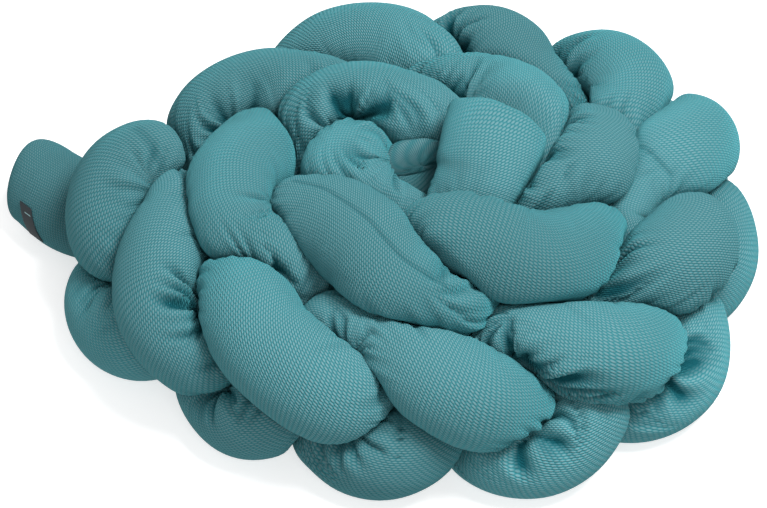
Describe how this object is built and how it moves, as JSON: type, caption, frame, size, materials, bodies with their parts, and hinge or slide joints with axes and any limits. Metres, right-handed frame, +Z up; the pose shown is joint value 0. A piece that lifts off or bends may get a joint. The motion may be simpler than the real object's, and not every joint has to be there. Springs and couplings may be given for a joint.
{
  "type": "braided crib bumper",
  "caption": "Thick braided crib bumper of padded teal velvet strands, laid in a spiral coil, with one loose end and a small blank label.",
  "frame": {"origin": "middle of the underside's bounding box, on the floor", "axes": "+Z up, -Y towards the front of the picture, +X to its right"},
  "size_m": [0.7256, 0.5534, 0.2494],
  "materials": {
    "velvet": "soft pile with a fine raised grain",
    "label": "plain woven tape, blank"
  },
  "bodies": {
    "root": {"strand_a": "velvet", "strand_b": "velvet", "strand_c": "velvet", "label": "label"}
  },
  "joints": []
}
